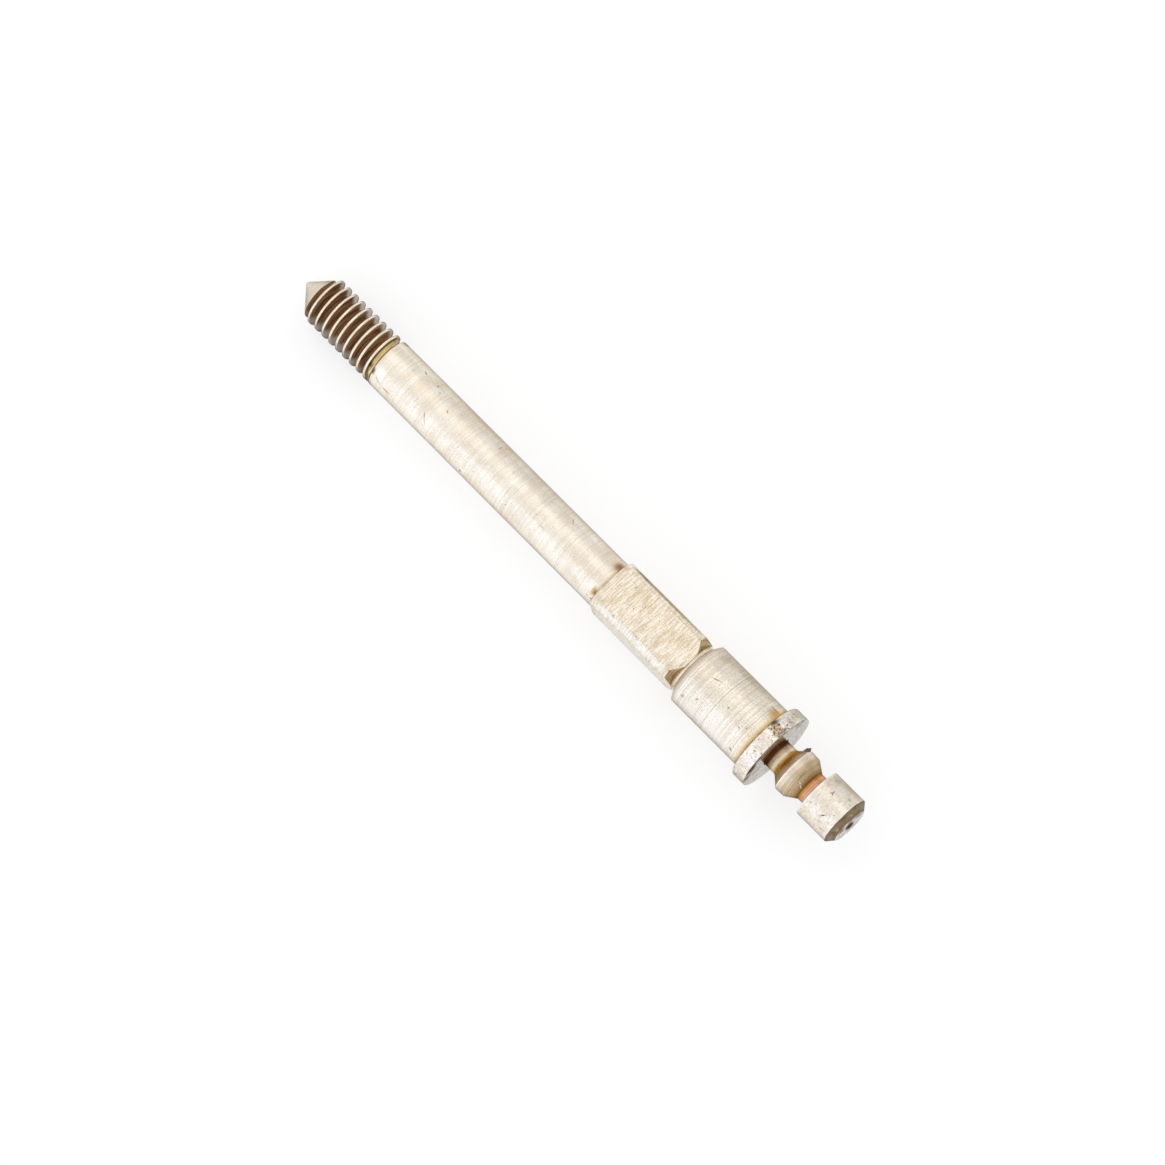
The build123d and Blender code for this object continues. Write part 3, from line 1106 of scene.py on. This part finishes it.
class STEM_OT_bar(bpy.types.Operator):
    """Make the turned bar with its thread, square, collar and grooves"""

    bl_idname = "stem.bar"
    bl_label = "Turned bar"

    def execute(self, context):
        finish = context.scene.stem_finish
        rounds, flats = finish.round_edge, finish.flat_edge
        piece = make_bar()
        finishes = {
            # Cut with a die: bright burnished crests over grooves full of dried polish
            THREAD: steel(
                "steel_die_cut",
                (finish.crest, finish.steel_dull),
                (0.03, 0.4, 0.0015),
                finish.thread_edge,
                stains=THREAD_STAINS_AND_SHADE,
                threaded=True,
            ),
            # Ground between centres: smooth, with faint rings and a cloudy straw tint
            SHANK: steel(
                "steel_ground",
                (finish.steel, finish.steel_dull),
                (0.035, 1.2, 0.0015),
                rounds,
                stains=SHANK_STAINS_AND_SHADE,
                line_share=0.35,
                cloud_share=0.35,
            ),
            # Filed flat: short strokes across the stem
            SQUARE: steel(
                "steel_filed",
                (finish.flat, finish.flat_dull),
                (0.028, 0.25, 0.004),
                flats,
                stains=SQUARE_STAINS_AND_LIGHT,
                cloud_share=0.15,
            ),
            # Turned and never polished: dull with old oil
            CONES: steel(
                "steel_oiled_dark", (finish.cone, finish.cone_dull), (0.03, 0.5, 0.002), flats
            ),
            GROOVE: steel(
                "steel_oiled",
                (finish.tan, finish.tan_dull),
                (0.03, 0.5, 0.002),
                flats,
                stains=GROOVE_STAINS,
            ),
            # Turned with a pointed tool: clear rings
            SEAT: steel(
                "steel_turned",
                (finish.steel, finish.turned_dull),
                (0.03, 2.5, 0.003),
                rounds,
                stains=SEAT_STAINS_AND_LIGHT,
                cloud_share=0.1,
            ),
            # Turned and then gripped with pliers: bright and pitted
            COLLAR: steel(
                "steel_pitted",
                (finish.rim, finish.rim_dull),
                (0.05, 0.06, 0.004),
                rounds,
                stains=COLLAR_STAINS_AND_SHADE,
                pitted=0.37,
            ),
            # Faced: grey and speckled
            FACES: steel(
                "steel_faced",
                (finish.face, finish.face_dull),
                (0.06, 0.08, 0.003),
                flats,
                stains=FACE_STAINS_AND_SHADE,
                pitted=0.35,
            ),
            # Form-turned and left oily: brown and gold films, with painted shade at the neck's root
            HEAD: steel(
                "steel_filmed",
                (finish.bare, finish.bare_dull),
                (0.02, 1.0, 0.002),
                rounds,
                films=HEAD_FILMS_AND_SHADE,
                stains=HEAD_STAINS,
            ),
            # Polished bearing: smooth and pale, with a brown chamfer at its end, oil with a painted
            # dark reflection
            PILOT: steel(
                "steel_polished",
                (finish.bare, finish.bare_dull),
                (0.06, 0.1, 0.0015),
                rounds,
                films=PILOT_FILMS_AND_SHADE,
                stains=PILOT_STAINS_AND_SHADE,
                pitted=0.32,
                line_share=0.4,
                spread=0.12,
            ),
        }
        for region in sorted(finishes):
            piece.data.materials.append(finishes[region])
        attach(piece, "root")
        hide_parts(NODE)
        return {"FINISHED"}


# Stage

# How the stem lies to the camera: its head end leans towards it, the stem is turned round its
# own axis, and it crosses the picture from upper left to lower right
HEAD_LEAN = math.radians(13.65)
AXIS_TURN = math.radians(8)
PICTURE_SLOPE = math.radians(45.09)
PICTURE_SIDE = 1165
FOCAL_PIXELS = 4890
SENSOR_WIDTH = 36.0

# Where the camera aims along the axis, and how far the picture's middle lies from there, in
# pixels to the left and down
AIMED_PLACE = -5.311 * MM
AIM_SHIFT = (12.4, 11.5)

# Half the table's side, and the panels' distance and length, in metres
TABLE_HALF = 0.6
PANEL_DISTANCE = 0.2
PANEL_LENGTH = 0.32

# The tent gets dimmer from here to the far side, where the direction's Y is 1
DIM_START = 0.4


def camera_axes():
    """Right, up and backward directions of the camera in the stem's frame."""
    back = Vector(
        (
            math.sin(HEAD_LEAN),
            -math.cos(HEAD_LEAN) * math.sin(AXIS_TURN),
            math.cos(HEAD_LEAN) * math.cos(AXIS_TURN),
        )
    )
    along = Vector((1, 0, 0))
    along = (along - along.dot(back) * back).normalized()
    across = back.cross(along)
    right = math.cos(PICTURE_SLOPE) * along + math.sin(PICTURE_SLOPE) * across
    up = -math.sin(PICTURE_SLOPE) * along + math.cos(PICTURE_SLOPE) * across
    return right, up, back


def place_camera(stage):
    """Puts the camera where it sees the stem as it lies in the picture."""
    right, up, back = camera_axes()
    pixel = stage.camera_distance / FOCAL_PIXELS
    aim = Vector((AIMED_PLACE, 0, 0))
    aim -= right * (AIM_SHIFT[0] * pixel) + up * (AIM_SHIFT[1] * pixel)
    camera = bpy.data.objects.new("camera", bpy.data.cameras.new("camera"))
    camera.data.sensor_width = SENSOR_WIDTH
    camera.data.lens = SENSOR_WIDTH * FOCAL_PIXELS / PICTURE_SIDE
    camera.data.clip_start = 10 * MM
    camera.data.clip_end = 2.0
    facing = Matrix((right, up, back)).transposed().to_4x4()
    camera.matrix_world = Matrix.Translation(aim + back * stage.camera_distance) @ facing
    bpy.context.scene.collection.objects.link(camera)
    bpy.context.scene.camera = camera


def lay_table(stage):
    """White table under the two places that the stem rests on, its collar and its thread's end."""
    turned, thread = bpy.context.scene.stem_turned, bpy.context.scene.stem_thread
    collar = Vector((LEVER_GROOVE[0], 0, -turned.collar_diameter / 2))
    cone = (thread.tip_end_diameter - thread.point_diameter) / 2
    crown_end = Vector((TIP + cone, 0, -thread.tip_end_diameter / 2))
    lean = math.atan2(crown_end.z - collar.z, collar.x - crown_end.x)
    mesh = bpy.data.meshes.new("table")
    corners = [(x * TABLE_HALF, y * TABLE_HALF, 0) for x, y in ((-1, -1), (1, -1), (1, 1), (-1, 1))]
    mesh.from_pydata(corners, [], [(0, 1, 2, 3)])
    table = bpy.data.objects.new("table", mesh)
    table.matrix_world = Matrix.Translation(collar) @ Matrix.Rotation(lean, 4, "Y")
    bpy.context.scene.collection.objects.link(table)
    # Smooth white card: plain, with a soft shadow and no gloss
    material = bpy.data.materials.new("white_card")
    material.use_nodes = True
    tree = material.node_tree
    tree.nodes.clear()
    card = add_node(tree, "BsdfDiffuse", {"Color": linear(stage.table)})
    rays = add_node(tree, "LightPath", {}).outputs
    seen = rays["Is Camera Ray"]
    for ray in ("Is Glossy Ray", "Is Transmission Ray"):
        seen = add_node(tree, "Math", {0: seen, 1: rays[ray]}, operation="MAXIMUM")
        seen = seen.outputs[0]
    glow = add_node(tree, "Math", {0: seen, 1: stage.table_glow}, operation="MULTIPLY")
    white = add_node(tree, "Emission", {"Strength": glow.outputs[0]})
    both = add_node(tree, "AddShader", {0: card.outputs[0], 1: white.outputs[0]})
    add_node(tree, "OutputMaterial", {"Surface": both.outputs[0]})
    mesh.materials.append(material)


def hang_panel(name, turned_by, half_reach, level, tint):
    """Soft panel that faces the stem from an angle round its axis. Angles are in degrees."""
    angle = math.radians(turned_by)
    towards = Vector((0, math.cos(angle), math.sin(angle)))
    lamp = bpy.data.lights.new(name, "AREA")
    lamp.shape = "RECTANGLE"
    lamp.size = PANEL_LENGTH
    lamp.size_y = 2 * PANEL_DISTANCE * math.tan(math.radians(half_reach))
    lamp.energy = level * math.pi * lamp.size * lamp.size_y
    lamp.color = tint
    panel = bpy.data.objects.new(name, lamp)
    along = Vector((1, 0, 0))
    facing = Matrix((along, towards.cross(along), towards)).transposed().to_4x4()
    middle = Vector((AIMED_PLACE, 0, 0)) + towards * PANEL_DISTANCE
    panel.matrix_world = Matrix.Translation(middle) @ facing
    panel.visible_camera = False
    bpy.context.scene.collection.objects.link(panel)


def hang_lights(stage):
    """White tent all round, a little dimmer low at the far side, and two soft panels."""
    world = bpy.data.worlds.new("white_tent")
    world.use_nodes = True
    tree = world.node_tree
    tree.nodes.clear()
    towards = add_node(tree, "TexCoord", {}).outputs["Generated"]
    beside = add_node(tree, "SeparateXYZ", {"Vector": towards}).outputs["Y"]
    far = stage.tent_level - stage.far_dim
    ends = {"From Min": DIM_START, "To Min": stage.tent_level, "To Max": far}
    level = add_node(tree, "MapRange", {"Value": beside, **ends})
    white = {"Color": (1, 1, 1, 1), "Strength": level.outputs["Result"]}
    tent = add_node(tree, "Background", white)
    add_node(tree, "OutputWorld", {"Surface": tent.outputs[0]})
    bpy.context.scene.world = world
    cool, warm = (0.45, 0.66, 1.0), (1.0, 0.97, 0.92)
    hang_panel("near_panel", 158, half_reach=29, level=stage.near_level, tint=cool)
    hang_panel("top_panel", 67, half_reach=20, level=stage.top_level, tint=warm)


class STEM_OT_stage(bpy.types.Operator):
    """Make the table, the lights and the camera"""

    bl_idname = "stem.stage"
    bl_label = "Stage"

    def execute(self, context):
        stage = context.scene.stem_stage
        place_camera(stage)
        lay_table(stage)
        hang_lights(stage)
        context.scene.view_settings.view_transform = "Standard"
        return {"FINISHED"}


OPERATORS = (STEM_OT_stage, STEM_OT_bar)


class STEM_PT_panel(bpy.types.Panel):
    """Sizes, finish and the steps of the stem"""

    bl_idname = "STEM_PT_panel"
    bl_label = "Winding stem"
    bl_space_type = "VIEW_3D"
    bl_region_type = "UI"
    bl_category = "Stem"

    def draw(self, context):
        for operator in OPERATORS:
            self.layout.operator(operator.bl_idname, text=operator.bl_label)
        for name, group in GROUPS.items():
            box = self.layout.box()
            box.label(text=group.__doc__)
            settings = getattr(context.scene, name)
            for field in group.__annotations__:
                box.prop(settings, field)


def register():
    """Registers the classes and hangs the settings on the scene."""
    for name, group in GROUPS.items():
        bpy.utils.register_class(group)
        setattr(bpy.types.Scene, name, PointerProperty(type=group))
    for operator in OPERATORS:
        bpy.utils.register_class(operator)
    bpy.utils.register_class(STEM_PT_panel)


def unregister():
    """Takes back what register did."""
    bpy.utils.unregister_class(STEM_PT_panel)
    for operator in reversed(OPERATORS):
        bpy.utils.unregister_class(operator)
    for name, group in reversed(GROUPS.items()):
        delattr(bpy.types.Scene, name)
        bpy.utils.unregister_class(group)


def main():
    """Makes the stage and the stem."""
    register()
    for operator in OPERATORS:
        group, name = operator.bl_idname.split(".")
        getattr(getattr(bpy.ops, group), name)()


if __name__ == "__main__":
    main()
